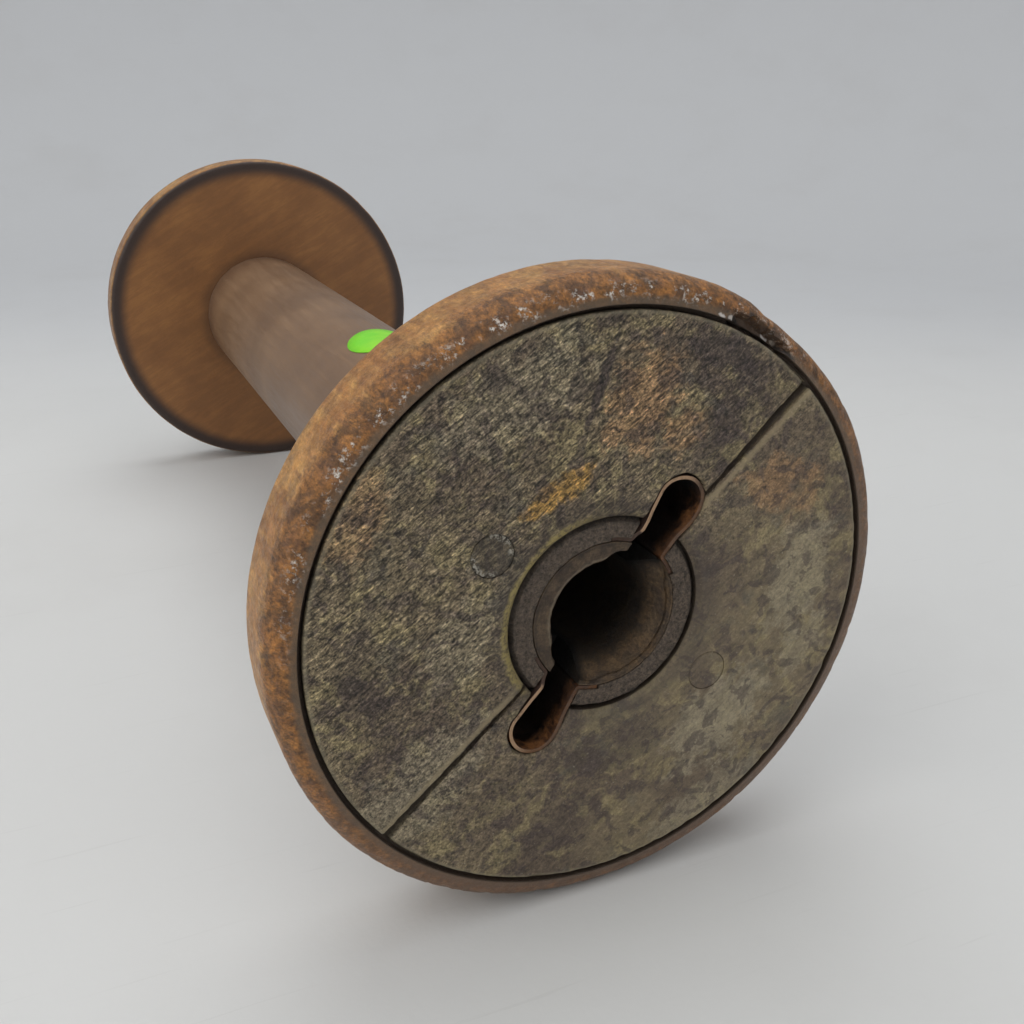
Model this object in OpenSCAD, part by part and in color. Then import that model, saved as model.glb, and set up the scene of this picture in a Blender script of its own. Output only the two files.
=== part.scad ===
// Empty double-flanged wooden mill bobbin, lying on its two rims.
// Row frame: Y along the bobbin, Z up, origin on the floor under the middle of the barrel.
// The near end is at -Y. Each end piece is drawn in an end frame: Z = 0 is the outer face of the head,
// -Z goes into the wood, X points right and Y up for someone who looks at that face.

/* [Overall] */
// Diameter of the two heads
flange_d = 101.6; // [80:0.2:160]
// Length from outer face to outer face
overall_l = 263.2; // [160:0.2:400]

/* [Barrel] */
// Outside diameter of the barrel between the heads
barrel_d = 39; // [34:0.5:60]
// Diameter of the tenon that passes through each head
tenon_d = 31.8; // [28:0.1:33]
// How far the tenon's end lies below the face
tenon_sink = 0.8; // [0.2:0.1:2]
// Diameter of the spindle bore
bore_d = 17.3; // [10:0.1:20]

/* [Heads] */
// Thickness of a head
head_t = 14.6; // [12:0.1:24]
// Width of the wooden rim round the face plate
rim_w = 4.2; // [3:0.1:8]
// Radius of the rim's outer corner
rim_round = 4; // [1:0.1:6]
// Radius of the rim's inner corner, on the winding side
back_round = 1.5; // [0.5:0.1:4]

/* [Face plates] */
// Thickness of the face plate
plate_t = 5; // [3:0.1:8]
// Gap that shrinkage left round the face plate
plate_gap = 0.7; // [0.2:0.1:2]
// Chamfer at the plate's centre hole
plate_chamfer = 0.8; // [0.2:0.1:2]
// Turn of the seam between the two halves
seam_angle = 41.7; // [0:0.1:90]
// Distance of the seam from the axis
seam_offset = 2.1; // [0:0.1:4]
// Seam gap beside the drive slots
seam_in = 0.7; // [0.2:0.1:2]
// Seam gap at the rim
seam_out = 1.7; // [0.2:0.1:3]

/* [Pegs] */
// Diameter of a peg
peg_d = 6.6; // [4:0.1:10]
// Wood left between a peg's hole and the tenon's hole
peg_web = 3.5; // [1:0.1:8]
// Turn of the upper peg
peg_angle = 144.2; // [120:0.1:170]
// How far a peg goes into the head under the plate
peg_bite = 6; // [3:0.1:8]

/* [Drive slots] */
// Turn of the line through the two drive slots
slot_angle = 54.6; // [30:0.1:80]
// Distance of a slot's round end from the axis
slot_radius = 20.45; // [17:0.05:26]
// Width of a slot at its round end, outside the liner
slot_w = 8.4; // [6:0.1:11]
// Width of a slot at its neck, outside the liner
neck_w = 7.2; // [5:0.1:9]
// Wood left in the head under a slot
slot_floor = 2.6; // [1:0.1:6]
// Thickness of the liner's sheet
sheet_t = 0.6; // [0.3:0.1:1]
// Length of the foot that curls out along the bush, as an angle
foot_angle = 17; // [5:1:30]

/* [Bushes] */
// Wall of the wooden bush round the bore
bush_wall = 3.15; // [2:0.05:4]
// Length of a bush
bush_l = 30; // [15:1:60]
// Rounding of the bore's mouth
mouth_round = 1.2; // [0.3:0.1:2]

/* [Sticker] */
// Diameter of the sticker
sticker_d = 25; // [10:1:30]
// Thickness of the sticker
sticker_t = 0.15; // [0.1:0.05:0.5]
// Place of the sticker along the barrel
sticker_y = -22; // [-60:1:60]
// Turn of the sticker from straight up
sticker_turn = 12.5; // [-90:0.5:90]

/* [Fits] */
// Clearance between wooden pieces that are glued or driven together
fit = 0.05; // [0.02:0.01:0.2]
// Radial gap of the joint round a bush
bush_gap = 0.12; // [0.05:0.01:0.3]

/* [Hidden] */
$fn = 96;

flange_r = flange_d / 2;
barrel_r = barrel_d / 2;
tenon_r = tenon_d / 2;
bore_r = bore_d / 2;
recess_r = flange_r - rim_w;
plate_r = recess_r - plate_gap;
rim_corner = min(rim_round, rim_w - 0.2);
hub_hole_r = tenon_r + fit;
bush_r = bore_r + bush_wall;
counterbore_r = bush_r + bush_gap;
slot_depth = head_t - slot_floor;
slot_r = slot_w / 2;
slot_reach = slot_radius + slot_r;
// A liner's foot lies just outside the bush.
foot_in = counterbore_r;
foot_out = foot_in + sheet_t;
// Clear width of the neck between the liner's walls, and its half angle where the feet start
throat_w = neck_w - 2 * sheet_t;
neck_half = asin(throat_w / 2 / foot_in);
peg_r = peg_d / 2;
peg_l = plate_t + peg_bite;
peg_radius = hub_hole_r + peg_web + fit + peg_r;
// The liner's lip lies this far below the face.
lip_sink = 0.2;
// Cutters reach this far past the wood that they cut.
past = 1;

wood_orange = [0.62, 0.40, 0.22];
wood_grey = [0.50, 0.41, 0.34];
plate_olive = [0.42, 0.39, 0.32];
wood_dark = [0.25, 0.23, 0.21];
rusty_steel = [0.40, 0.24, 0.15];
lime_paper = [0.51, 0.90, 0.20];

// From the end frame of one end to the row frame
module near_end() {
    translate([0, -overall_l / 2, flange_r]) rotate([90, 0, 0]) children();
}

module far_end() {
    translate([0, overall_l / 2, flange_r]) rotate([90, 0, 180]) children();
}

// Turns a piece of one slot, drawn along +X, to the upper or the lower slot
module at_slot(lower = false) {
    rotate([0, 0, slot_angle + (lower ? 180 : 0)]) children();
}

// Outline of one drive slot along +X, grown by g: a round end and a neck that narrows to the bore
module slot_outline(g = 0) {
    translate([slot_radius, 0]) circle(slot_r + g);
    polygon([
        [0, -neck_w / 2 - g], [foot_out, -neck_w / 2 - g], [slot_radius, -slot_r - g],
        [slot_radius, slot_r + g], [foot_out, neck_w / 2 + g], [0, neck_w / 2 + g]
    ]);
}

// Both slots as a cutter from the face down to the slot's floor
module slot_cutters(g = 0) {
    for (lower = [false, true])
        at_slot(lower)
            translate([0, 0, -slot_depth]) linear_extrude(slot_depth + past) slot_outline(g);
}

// The pocket for the feet of one liner, or the feet themselves, by their radii and their end angle
module foot_arcs(r_in, r_out, start, end, depth) {
    for (side = [-1, 1])
        translate([0, 0, -depth])
            rotate([0, 0, side > 0 ? start : -end])
                rotate_extrude(angle = end - start)
                    translate([r_in, 0]) square([r_out - r_in, depth]);
}

module peg_holes() {
    for (turn = [0, 180])
        rotate([0, 0, peg_angle + turn])
            translate([peg_radius, 0, -peg_l]) cylinder(r = peg_r + fit, h = peg_l + past);
}

// One end of the barrel as a cutter: the bush's counterbore, the slots and the pockets for the feet
module barrel_end_cuts() {
    translate([0, 0, -bush_l - tenon_sink]) cylinder(r = counterbore_r, h = bush_l + tenon_sink + past);
    slot_cutters(fit);
    for (lower = [false, true])
        at_slot(lower)
            foot_arcs(bush_r, foot_out + fit, neck_half / 2, neck_half + foot_angle + 1, slot_depth);
    translate([0, 0, -tenon_sink]) cylinder(r = flange_r, h = tenon_sink + past);
}

module barrel() {
    shoulder_y = overall_l / 2 - head_t;
    color(wood_grey) difference() {
        translate([0, 0, flange_r]) rotate([90, 0, 0]) {
            cylinder(r = barrel_r, h = 2 * shoulder_y, center = true);
            cylinder(r = tenon_r, h = overall_l, center = true);
        }
        translate([0, 0, flange_r]) rotate([90, 0, 0])
            cylinder(r = bore_r, h = overall_l + 2 * past, center = true);
        near_end() barrel_end_cuts();
        far_end() barrel_end_cuts();
    }
}

// Half section of a head: a rounded rim, a recess in the face and a hole for the tenon
module head_section() {
    difference() {
        union() {
            translate([hub_hole_r, -head_t + back_round])
                square([flange_r - hub_hole_r, head_t - back_round - rim_corner]);
            translate([hub_hole_r, -head_t]) square([flange_r - back_round - hub_hole_r, back_round + past]);
            translate([flange_r - back_round, -head_t + back_round]) circle(back_round);
            translate([hub_hole_r, -rim_corner - past])
                square([flange_r - rim_corner - hub_hole_r, rim_corner + past]);
            translate([flange_r - rim_corner, -rim_corner]) circle(rim_corner);
        }
        translate([0, -plate_t]) square([recess_r, plate_t + past]);
    }
}

module head() {
    color(wood_orange) difference() {
        rotate_extrude() head_section();
        slot_cutters(fit);
        peg_holes();
    }
}

// The part of the face plane on the upper side of the seam; the gap widens from the slots to the rim
module upper_side() {
    reach = 2 * flange_r;
    rise_in = seam_offset + seam_in / 2;
    rise_out = seam_offset + seam_out / 2;
    rotate([0, 0, seam_angle]) polygon([
        [-reach, reach], [-reach, rise_out], [-plate_r, rise_out], [-slot_reach, rise_in],
        [slot_reach, rise_in], [plate_r, rise_out], [reach, rise_out], [reach, reach]
    ]);
}

module lower_side() {
    reach = 2 * flange_r;
    rise_in = seam_offset - seam_in / 2;
    rise_out = seam_offset - seam_out / 2;
    rotate([0, 0, seam_angle]) polygon([
        [-reach, -reach], [-reach, rise_out], [-plate_r, rise_out], [-slot_reach, rise_in],
        [slot_reach, rise_in], [plate_r, rise_out], [reach, rise_out], [reach, -reach]
    ]);
}

// A face half: the side of the seam comes in as a child outline
module face_half() {
    color(plate_olive) difference() {
        intersection() {
            translate([0, 0, -plate_t]) cylinder(r = plate_r, h = plate_t);
            translate([0, 0, -plate_t - past]) linear_extrude(plate_t + 2 * past) children();
        }
        translate([0, 0, -plate_t - past]) cylinder(r = hub_hole_r, h = plate_t + 2 * past);
        translate([0, 0, -plate_chamfer])
            cylinder(r1 = hub_hole_r, r2 = hub_hole_r + plate_chamfer + past, h = plate_chamfer + past);
        slot_cutters(fit);
        peg_holes();
    }
}

module peg(lower = false) {
    color(wood_dark)
        rotate([0, 0, peg_angle + (lower ? 180 : 0)])
            translate([peg_radius, 0, -peg_l]) cylinder(r = peg_r, h = peg_l);
}

// Half section of a bush with a rounded mouth
module bush_section() {
    difference() {
        translate([bore_r, -bush_l - tenon_sink]) square([bush_wall, bush_l]);
        translate([bore_r, -tenon_sink - mouth_round]) difference() {
            translate([-past, 0]) square([mouth_round + past, mouth_round + past]);
            translate([mouth_round, 0]) circle(mouth_round);
            translate([mouth_round, -past]) square([past, mouth_round + past]);
        }
    }
}

module bush() {
    color(wood_dark) difference() {
        rotate_extrude() bush_section();
        for (lower = [false, true])
            at_slot(lower) translate([0, -throat_w / 2, -slot_depth])
                cube([bush_r + past, throat_w, slot_depth + past]);
    }
}

// A sheet-steel liner: a U round the slot's end, with feet that curl out along the bush
module liner(lower = false) {
    color(rusty_steel) at_slot(lower) {
        translate([0, 0, -slot_depth]) linear_extrude(slot_depth - lip_sink) difference() {
            slot_outline();
            slot_outline(-sheet_t);
            circle(foot_out - sheet_t / 2);
        }
        translate([0, 0, -tenon_sink])
            foot_arcs(foot_in, foot_out, neck_half, neck_half + foot_angle, slot_depth - tenon_sink);
    }
}

module sticker() {
    color(lime_paper) translate([0, sticker_y, flange_r]) rotate([0, sticker_turn, 0]) intersection() {
        rotate([90, 0, 0]) difference() {
            cylinder(r = barrel_r + sticker_t, h = 2 * sticker_d, center = true);
            cylinder(r = barrel_r, h = 3 * sticker_d, center = true);
        }
        cylinder(r = sticker_d / 2, h = barrel_d);
    }
}

barrel();
near_end() head();  // near_head
far_end() head();  // far_head
near_end() face_half() upper_side();  // near_face_upper
near_end() face_half() lower_side();  // near_face_lower
far_end() face_half() upper_side();  // far_face_upper
far_end() face_half() lower_side();  // far_face_lower
near_end() peg();  // near_peg_upper
near_end() peg(lower = true);  // near_peg_lower
far_end() peg();  // far_peg_upper
far_end() peg(lower = true);  // far_peg_lower
near_end() bush();  // near_bush
far_end() bush();  // far_bush
near_end() liner();  // near_liner_upper
near_end() liner(lower = true);  // near_liner_lower
far_end() liner();  // far_liner_upper
far_end() liner(lower = true);  // far_liner_lower
sticker();
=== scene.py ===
import math

import bmesh
import bpy
from mathutils import Matrix, Vector, noise


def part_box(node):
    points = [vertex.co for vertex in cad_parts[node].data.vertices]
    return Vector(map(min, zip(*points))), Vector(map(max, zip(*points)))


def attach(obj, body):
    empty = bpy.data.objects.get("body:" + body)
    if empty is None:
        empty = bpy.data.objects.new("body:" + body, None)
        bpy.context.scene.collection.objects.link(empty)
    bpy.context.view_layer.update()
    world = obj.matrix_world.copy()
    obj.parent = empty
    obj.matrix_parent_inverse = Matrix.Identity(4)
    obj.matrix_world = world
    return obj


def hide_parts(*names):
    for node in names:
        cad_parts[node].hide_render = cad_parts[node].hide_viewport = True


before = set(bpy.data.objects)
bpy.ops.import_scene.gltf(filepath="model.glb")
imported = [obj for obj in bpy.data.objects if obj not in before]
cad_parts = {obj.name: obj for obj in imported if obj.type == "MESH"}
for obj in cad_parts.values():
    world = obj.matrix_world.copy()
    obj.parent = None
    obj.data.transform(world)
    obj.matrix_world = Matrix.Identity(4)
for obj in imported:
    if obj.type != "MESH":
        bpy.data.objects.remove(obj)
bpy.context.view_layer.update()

# Camera. It stands close in front of the near head and above it, a hand's width left of the
# bobbin's line, and looks down along the barrel.
camera = bpy.data.objects.new("camera", bpy.data.cameras.new("camera"))
camera.location = (-0.0700, -0.2555, 0.1245)
camera.rotation_euler = (math.radians(68.18), 0, math.radians(-23.70))
camera.data.sensor_width = 36
camera.data.lens = 37.405
camera.data.clip_start = 0.01
camera.data.clip_end = 50
bpy.context.scene.collection.objects.link(camera)
bpy.context.scene.camera = camera
bpy.context.scene.view_settings.view_transform = "Standard"


# Floor. A white light tent stands open at the top over the bobbin: a matt white board floor that
# sweeps up into a round wall. The board has faint rubbed marks, and painted shade darkens it towards the
# far side and up the wall.
class Output:
    """What a node puts out. A sum of outputs and numbers makes the nodes that it needs."""

    def __init__(self, socket):
        self.socket = socket

    def __add__(self, other):
        return maths("ADD", self, other)

    def __radd__(self, other):
        return maths("ADD", other, self)

    def __sub__(self, other):
        return maths("SUBTRACT", self, other)

    def __rsub__(self, other):
        return maths("SUBTRACT", other, self)

    def __mul__(self, other):
        return maths("MULTIPLY", self, other)

    def __rmul__(self, other):
        return maths("MULTIPLY", other, self)

    def __truediv__(self, other):
        return maths("DIVIDE", self, other)

    def __rtruediv__(self, other):
        return maths("DIVIDE", other, self)

    def __abs__(self):
        return maths("ABSOLUTE", self)


def feed(socket, value):
    """Gives a socket a value, or the output of another node."""
    if isinstance(value, Output):
        socket.id_data.links.new(value.socket, socket)
    else:
        socket.default_value = value


def tree_of(values):
    """The node tree that the outputs among some values belong to."""
    return next(value.socket.id_data for value in values if isinstance(value, Output))


def add_node(tree, kind, inputs=(), out=0, **settings):
    """Adds a node, feeds its inputs by name or in order, and gives one of its outputs, or all."""
    made = tree.nodes.new(kind)
    for name, value in settings.items():
        setattr(made, name, value)
    for name, value in inputs.items() if isinstance(inputs, dict) else enumerate(inputs):
        feed(made.inputs[name], value)
    return [Output(socket) for socket in made.outputs] if out == "all" else Output(made.outputs[out])


def maths(operation, *values):
    return add_node(tree_of(values), "ShaderNodeMath", values, operation=operation)


def vector_maths(operation, *values):
    out = "Value" if operation in ("LENGTH", "DOT_PRODUCT") else "Vector"
    return add_node(tree_of(values), "ShaderNodeVectorMath", values, out, operation=operation)


def dot(place, direction):
    return vector_maths("DOT_PRODUCT", place, direction)


def split(place):
    """The X, Y and Z of a place."""
    return add_node(tree_of([place]), "ShaderNodeSeparateXYZ", [place], "all")


def mapped(place, **settings):
    """A place moved, turned and scaled."""
    return add_node(tree_of([place]), "ShaderNodeMapping", {"Vector": place, **settings})


def spread(value, low, high, to_low=0.0, to_high=1.0, smooth=True):
    """A value eased from to_low at low to to_high at high."""
    return add_node(tree_of([value]), "ShaderNodeMapRange", (value, low, high, to_low, to_high),
                    interpolation_type="SMOOTHSTEP" if smooth else "LINEAR")


def mix(mask, under, over, how="MIX"):
    """Colour over laid on colour under where the mask is 1."""
    return add_node(tree_of((mask, under, over)), "ShaderNodeMix", {0: mask, 6: under, 7: over}, 2,
                    data_type="RGBA", blend_type=how)


def shaded(shade, value):
    """The colour made lighter or darker by a value round 1."""
    return mix(1.0, shade, value, "MULTIPLY")


def cloud(place, scale, detail=4.0, rough=0.55, swirl=0.0):
    """Soft noise from 0 to 1 over a place."""
    return add_node(tree_of([place]), "ShaderNodeTexNoise", {
        "Vector": place, "Scale": scale, "Detail": detail, "Roughness": rough, "Distortion": swirl,
    })


def tint(red, green, blue):
    """A colour from 0 to 255 as the renderer wants it."""
    shares = [c / 255 for c in (red, green, blue)]
    return (*[c / 12.92 if c <= 0.04045 else ((c + 0.055) / 1.055) ** 2.4 for c in shares], 1.0)


def new_material(name):
    """A material, and the Object coordinates of what it covers in millimetres."""
    made = bpy.data.materials.new(name)
    made.use_nodes = True
    place = add_node(made.node_tree, "ShaderNodeTexCoord", out="Object")
    return made, mapped(place, Scale=(1000, 1000, 1000))


def coated(made, shade, rough, height, shine=0.5, deep=0.001, strength=0.8):
    """Gives a material its colour, roughness, shine and fine relief, and returns it."""
    inputs = made.node_tree.nodes["Principled BSDF"].inputs
    feed(inputs["Base Color"], shade)
    feed(inputs["Roughness"], rough)
    inputs["Specular IOR Level"].default_value = shine
    feed(inputs["Normal"], add_node(made.node_tree, "ShaderNodeBump", {
        "Height": height, "Distance": deep, "Strength": strength,
    }))
    return made


def link_object(name, shape):
    """An object in the scene with the mesh of a bmesh."""
    mesh = bpy.data.meshes.new(name)
    shape.to_mesh(mesh)
    shape.free()
    made = bpy.data.objects.new(name, mesh)
    bpy.context.scene.collection.objects.link(made)
    return made


def board_white(name):
    made, place = new_material(name)
    # painted shade: the board is made darker towards the far side and higher up the wall
    away = dot(place, (0.4, 0.92, 0))
    shade = mix(spread(away, 90, 420), tint(216, 216, 214), tint(202, 203, 204))
    shade = mix(spread(split(place)[2], 0, 500), shade, tint(190, 191, 193))
    rubs = mapped(place, Rotation=(0, 0, 0.9), Scale=(0.02, 0.6, 1))
    rubbed = spread(cloud(rubs, 1.0, 3, 0.6, 0.4), 0.64, 0.72)
    shade = mix(rubbed * 0.07, shade, tint(150, 146, 140))
    smudge = spread(cloud(place, 0.012, 5, 0.6), 0.45, 0.75)
    shade = mix(smudge * 0.08, shade, tint(170, 166, 160))
    return coated(made, shade, 0.6, cloud(place, 0.8, 3), shine=0.2, deep=0.0001, strength=0.3)


sweep = bmesh.new()
floor_r, wall_h = 1.1, 1.5
corners = ((0, 0, 0), (0.58, 0, 0), (floor_r, 0, 0), (floor_r, 0, wall_h))
profile = [sweep.verts.new(corner) for corner in corners]
for first, second in zip(profile, profile[1:]):
    sweep.edges.new((first, second))
bmesh.ops.bevel(sweep, geom=[profile[2]], offset=0.5, segments=16, affect="VERTICES", profile=0.5,
                material=-1)
bmesh.ops.spin(sweep, geom=sweep.verts[:] + sweep.edges[:], cent=(0, 0, 0), axis=(0, 0, 1),
               angle=2 * math.pi, steps=96, use_merge=True)
bmesh.ops.remove_doubles(sweep, verts=sweep.verts[:], dist=1e-5)
bmesh.ops.recalc_face_normals(sweep, faces=sweep.faces[:])
floor = link_object("floor", sweep)
floor.data.shade_smooth()
floor.data.materials.append(board_white("board_white"))

# Light. An even pale light comes in at the top of the tent, with one broad lamp high on the left,
# a weaker one above and a faint one in front. Nothing has a hard shadow.
world = bpy.data.worlds.new("surround")
world.use_nodes = True
world.node_tree.nodes["Background"].inputs["Color"].default_value = tint(240, 242, 245)
world.node_tree.nodes["Background"].inputs["Strength"].default_value = 0.84
bpy.context.scene.world = world


def add_lamp(name, place, aim, size, watts, colour):
    data = bpy.data.lights.new(name, "AREA")
    data.shape = "DISK"
    data.size = size
    data.energy = watts
    data.color = colour
    lamp = bpy.data.objects.new(name, data)
    lamp.location = place
    lamp.visible_camera = False
    lamp.rotation_euler = (Vector(aim) - Vector(place)).to_track_quat("-Z", "Y").to_euler()
    bpy.context.scene.collection.objects.link(lamp)


add_lamp("lamp_left", (-0.75, -0.30, 0.75), (0, -0.05, 0.03), 0.9, 4.0, (1.0, 0.985, 0.96))
add_lamp("lamp_top", (0.15, 0.25, 1.1), (0, 0, 0), 1.0, 3.6, (0.98, 0.99, 1.0))
add_lamp("lamp_front", (0.35, -0.95, 0.75), (0.02, -0.2, 0), 0.9, 1.3, (1.0, 0.99, 0.97))

# Heads. Two solid turned hardwood flanges with a rounded rim and a shallow recess in the outer
# face. The varnish has gone dark and crumbles along the recess, and the rims are worn and dented.
mm = 0.001
head_low, head_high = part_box("near_head")
head_r = (head_high.x - head_low.x) / 2
head_t = head_high.y - head_low.y
half_l = -head_low.y
plate_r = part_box("near_face_upper")[1].z - head_r
plate_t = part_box("near_face_upper")[1].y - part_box("near_face_upper")[0].y
near_end = Matrix.Translation((0, -half_l, head_r)) @ Matrix.Rotation(math.radians(90), 4, "X")
far_end = Matrix.Rotation(math.pi, 4, "Z") @ near_end
ends = {"near": near_end, "far": far_end}
recess_r = head_r - 4.2 * mm
tenon_r = 15.9 * mm
fit = 0.05 * mm
hub_hole_r = tenon_r + fit
halves = ("upper", "lower")
slot_turns = {"upper": math.radians(54.6), "lower": math.radians(234.6)}
slot_way = (math.cos(slot_turns["upper"]), math.sin(slot_turns["upper"]), 0)
slot_side = (slot_way[1], -slot_way[0], 0)
slot_depth = 12 * mm
slot_radius = 20.45 * mm
slot_r = 4.2 * mm
neck_half_w = 3.6 * mm
neck_x = 12.52 * mm
peg_low, peg_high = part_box("near_peg_upper")
peg_r = (peg_high.x - peg_low.x) / 2
peg_l = peg_high.y - peg_low.y
peg_hole_r = peg_r + 0.06 * mm
plate_hole_r = plate_r + 0.06 * mm
peg_middle = Vector(((peg_low.x + peg_high.x) / 2, (peg_low.z + peg_high.z) / 2 - head_r, 0))


def verts_of(geometry):
    """The vertices among what an operator made."""
    return [item for item in geometry if isinstance(item, bmesh.types.BMVert)]


def all_of(shape):
    return shape.verts[:] + shape.edges[:] + shape.faces[:]


def turn_all(shape, angle):
    bmesh.ops.transform(shape, matrix=Matrix.Rotation(angle, 4, "Z"), verts=shape.verts[:])


def turned(outline, steps, spacing):
    """A shape turned round Z from a closed outline of (radius, height, corner radius) points;
    spacing(radius, height) is how far apart its rows lie there."""
    shape = bmesh.new()
    points = [shape.verts.new((radius, 0, height)) for radius, height, corner in outline]
    for first, second in zip(points, points[1:] + points[:1]):
        if first.co.x + second.co.x > 0:
            shape.edges.new((first, second))
    for (radius, height, corner), point in zip(outline, points):
        if corner:
            bmesh.ops.bevel(shape, geom=[point], offset=corner, segments=8, affect="VERTICES",
                            profile=0.5, material=-1)
    for edge in shape.edges[:]:
        middle = (edge.verts[0].co + edge.verts[1].co) / 2
        cuts = int(edge.calc_length() / spacing(middle.x, middle.z))
        if cuts:
            bmesh.ops.subdivide_edges(shape, edges=[edge], cuts=cuts)
    wedges = 12
    bmesh.ops.spin(shape, geom=shape.verts[:] + shape.edges[:], cent=(0, 0, 0), axis=(0, 0, 1),
                   angle=2 * math.pi / wedges, steps=steps // wedges)
    wedge = all_of(shape)
    for place in range(1, wedges):
        copy = bmesh.ops.duplicate(shape, geom=wedge)["geom"]
        bmesh.ops.rotate(shape, verts=verts_of(copy), cent=(0, 0, 0),
                         matrix=Matrix.Rotation(2 * math.pi * place / wedges, 3, "Z"))
    bmesh.ops.remove_doubles(shape, verts=shape.verts[:], dist=1e-6)
    bmesh.ops.recalc_face_normals(shape, faces=shape.faces[:])
    return shape


def slot_cutter(flare, ragged, which):
    """A closed cutter for one drive slot, wider by flare at the face, with a ragged edge there."""
    shape = bmesh.new()
    side = neck_half_w + fit
    start = shape.verts.new((0, -side, -slot_depth))
    for x, y in ((neck_x, -side), (slot_radius, -slot_r - fit)):
        start = bmesh.ops.extrude_vert_indiv(shape, verts=[start])["verts"][0]
        start.co.xy = x, y
    arc = bmesh.ops.spin(shape, geom=[start], cent=(slot_radius, 0, -slot_depth), axis=(0, 0, 1),
                         angle=math.pi, steps=20)["geom_last"]
    start = verts_of(arc)[0]
    for x, y in ((neck_x, side), (0, side)):
        start = bmesh.ops.extrude_vert_indiv(shape, verts=[start])["verts"][0]
        start.co.xy = x, y
    long_edges = [e for e in shape.edges if e.calc_length() > 2 * mm]
    bmesh.ops.subdivide_edges(shape, edges=long_edges, cuts=10)
    ends_of_path = [v for v in shape.verts if len(v.link_edges) == 1]
    shape.edges.new(ends_of_path)
    top = bmesh.ops.contextual_create(shape, geom=shape.edges[:])["faces"]
    for height in (-1.2 * mm, -0.35 * mm, 0, 1 * mm):
        last = bmesh.ops.extrude_face_region(shape, geom=top)["geom"]
        if height > -1.2 * mm:
            bmesh.ops.delete(shape, geom=top, context="FACES_ONLY")
        top = [item for item in last if isinstance(item, bmesh.types.BMFace)]
        for vert in top[0].verts:
            vert.co.z = height
            if height > -1 * mm:
                middle = Vector((min(max(vert.co.x, 0), slot_radius), 0, height))
                out = (vert.co - middle).normalized()
                share = 0.35 if height < 0 else 0.65
                vert.co += out * flare * share * (1 + ragged * noise.noise(vert.co * 700))
    bmesh.ops.recalc_face_normals(shape, faces=shape.faces[:])
    turn_all(shape, slot_turns[which])
    return shape


def peg_cutter(which):
    shape = bmesh.new()
    middle = peg_middle if which == "upper" else -peg_middle
    place = Matrix.Translation(middle + Vector((0, 0, mm / 2 - peg_l / 2)))
    bmesh.ops.create_cone(shape, cap_ends=True, segments=40, radius1=peg_hole_r, radius2=peg_hole_r,
                          depth=peg_l + mm, matrix=place)
    return shape


def carve(shape, cutters):
    """The shape with each cutter taken out of it."""
    work = link_object("work", shape)
    tools = [link_object("tool", cutter) for cutter in cutters]
    for tool in tools:
        cut = work.modifiers.new("cut", "BOOLEAN")
        cut.operation = "DIFFERENCE"
        cut.solver = "MANIFOLD"
        cut.object = tool
    bpy.context.view_layer.update()
    cut_mesh = bpy.data.meshes.new_from_object(work.evaluated_get(bpy.context.evaluated_depsgraph_get()))
    carved = bmesh.new()
    carved.from_mesh(cut_mesh)
    for used in [work, *tools]:
        bpy.data.meshes.remove(used.data)
    bpy.data.meshes.remove(cut_mesh)
    return carved


def finished(name, shape, matrix, material, angle=32):
    """The object of a piece, in its place, shaded smooth but for its sharp edges."""
    bmesh.ops.transform(shape, matrix=matrix, verts=shape.verts[:])
    bmesh.ops.triangulate(shape, faces=[f for f in shape.faces if len(f.verts) > 4])
    made = link_object(name, shape)
    made.data.shade_smooth()
    made.data.set_sharp_from_angle(angle=math.radians(angle))
    made.data.materials.append(material)
    return made


def eased(value, low, high):
    """0 below low, 1 above high, and smooth between."""
    share = min(max((value - low) / (high - low), 0), 1)
    return share * share * (3 - 2 * share)


def wear_head(shape, seed, chip_turn):
    """Dents, a crumbled band at the recess's edge, and one chip broken out of it."""
    offset = Vector((seed, 0, 0))
    shape.normal_update()
    for vert in shape.verts:
        radius = vert.co.xy.length
        if radius < recess_r - 0.5 * mm:
            continue
        place = vert.co / mm
        rim = eased(radius, recess_r, recess_r + 1 * mm)
        turn = math.atan2(vert.co.y, vert.co.x) - chip_turn
        turn = (turn + math.pi) % (2 * math.pi) - math.pi
        dents = max(0, noise.noise(place * 0.035 + offset)) * 0.30
        dents += max(0, noise.noise(place * 0.16 + offset) - 0.35) * 0.35
        dents += (eased(-turn, -0.06, 0.03) - eased(-turn, 0.10, 0.60)) * 0.75
        streak = Vector((place.x * 0.5, place.y * 0.5, place.z * 0.12)) + offset
        front = eased(vert.co.z, -6 * mm, -1.5 * mm)
        pits = max(0, noise.noise(place * 0.75 + offset) - 0.15) * 0.55 * front
        vert.co -= vert.normal * mm * rim * (dents + max(0, noise.noise(streak)) * 0.08 + pits)
        off_chip = math.hypot(turn * radius / (6.5 * mm), (radius - recess_r) / (2.3 * mm))
        ragged = noise.noise(place * 0.8 + offset) * 0.45
        chip = 1 - eased(off_chip + ragged, 0.72, 1.0)
        deep = chip * (1.9 + noise.noise(place * 1.1) * 0.8) * mm
        vert.co.z -= deep * eased(vert.co.z, -6 * mm, -1 * mm)


def end_place(tree, end):
    """Object coordinates in millimetres in an end's own frame: Z is 0 on the outer face and falls
    into the wood, X points right and Y up for someone who looks at that face."""
    return mapped(
        add_node(tree, "ShaderNodeTexCoord", out="Object"), Location=(0, -head_r / mm, -half_l / mm),
        Rotation=(-math.pi / 2, 0 if end == "near" else math.pi, 0), Scale=(1000, 1000, 1000),
    )


def end_material(name, end):
    """A material, the place in its end's frame, the distance from the axis and the height."""
    made = bpy.data.materials.new(name)
    made.use_nodes = True
    place = end_place(made.node_tree, end)
    return made, place, off_axis(place), split(place)[2]


def off_axis(place):
    """How far a place lies from the axis of its end."""
    return vector_maths("LENGTH", vector_maths("MULTIPLY", place, (1, 1, 0)))


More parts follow.
